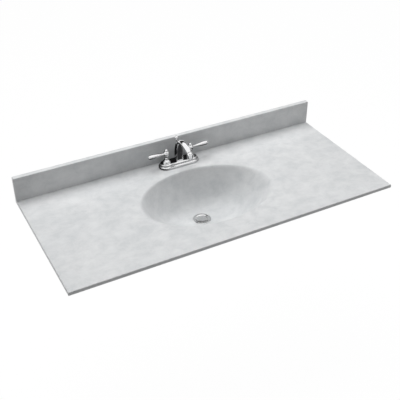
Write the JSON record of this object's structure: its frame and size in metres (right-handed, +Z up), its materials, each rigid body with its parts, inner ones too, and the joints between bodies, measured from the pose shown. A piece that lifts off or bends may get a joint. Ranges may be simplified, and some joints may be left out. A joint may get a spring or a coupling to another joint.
{
  "type": "vanity sink top",
  "caption": "Cast vanity top with an integral oval bowl, a low backsplash, a two-handle centreset faucet with an arched spout, and a pop-up drain worked by a lift rod.",
  "frame": {"origin": "on the deck's flat underside, at the middle of its length, over the middle of the cabinet's 19 mm rear rail", "axes": "+X along the top to the user's right, +Y towards the wall behind it, +Z up"},
  "size_m": [1.2446, 0.5588, 0.3983],
  "materials": {
    "cast_stone": "cast, glossy, cloudy white-grey",
    "chrome": "polished",
    "brass": "machined",
    "steel": "zinc plated",
    "black_rubber": "matt",
    "white_plastic": "moulded",
    "clear_silicone": "cured silicone"
  },
  "bodies": {
    "top": {"aerator_housing": "chrome", "aerator_screen": "white_plastic", "aerator_washer": "black_rubber", "backsplash": "cast_stone", "backsplash_adhesive": "clear_silicone", "base_plate": "chrome", "drain_body": "brass", "drain_flange": "chrome", "drain_gasket": "black_rubber", "drain_locknut": "brass", "drain_washer": "white_plastic", "faucet_body": "brass", "faucet_gasket": "black_rubber", "left_bell": "chrome", "left_mounting_nut": "brass", "left_mounting_washer": "steel", "left_valve_cartridge": "white_plastic", "pivot_nut": "white_plastic", "pivot_seat": "white_plastic", "right_bell": "chrome", "right_mounting_nut": "brass", "right_mounting_washer": "steel", "right_valve_cartridge": "white_plastic", "sink_top": "cast_stone", "spout": "chrome", "tailpiece": "chrome"},
    "left_handle": {"left_valve_stem": "brass", "left_handle_hub": "chrome", "left_handle_screw": "steel", "left_finial": "chrome", "left_lever": "chrome"},
    "right_handle": {"right_valve_stem": "brass", "right_handle_hub": "chrome", "right_handle_screw": "steel", "right_finial": "chrome", "right_lever": "chrome"},
    "lift": {"lift_knob": "chrome", "lift_rod": "chrome", "clevis_strap": "steel", "clevis_screw": "brass", "spring_clip": "steel"},
    "pivot": {"pivot_rod": "steel", "pivot_ball": "white_plastic"},
    "stopper": {"stopper": "chrome", "stopper_seal": "black_rubber"}
  },
  "joints": [
    {"name": "left_handle_turn", "type": "hinge", "parent": "top", "child": "left_handle", "pos_m": [-0.0508, -0.04927, 0.0309], "axis": [0, 0, 1], "range_deg": [0, 90]},
    {"name": "right_handle_turn", "type": "hinge", "parent": "top", "child": "right_handle", "pos_m": [0.0508, -0.04927, 0.0309], "axis": [0, 0, 1], "range_deg": [-90, 0]},
    {"name": "lift_rod_slide", "type": "slide", "parent": "top", "child": "lift", "axis": [0, 0, 1], "range_m": [-0.0253, 0]},
    {"name": "pivot_rod_turn", "type": "hinge", "parent": "top", "child": "pivot", "pos_m": [0, -0.21427, -0.1968], "axis": [1, 0, 0], "range_deg": [-18.2, 0]},
    {"name": "stopper_slide", "type": "slide", "parent": "top", "child": "stopper", "axis": [0, 0, 1], "range_m": [0, 0.00855]}
  ],
  "couplings": [
    {"joint": "pivot_rod_turn", "follows": "lift_rod_slide", "rad_per_m": 12.553},
    {"joint": "stopper_slide", "follows": "lift_rod_slide", "ratio": -0.3375}
  ]
}
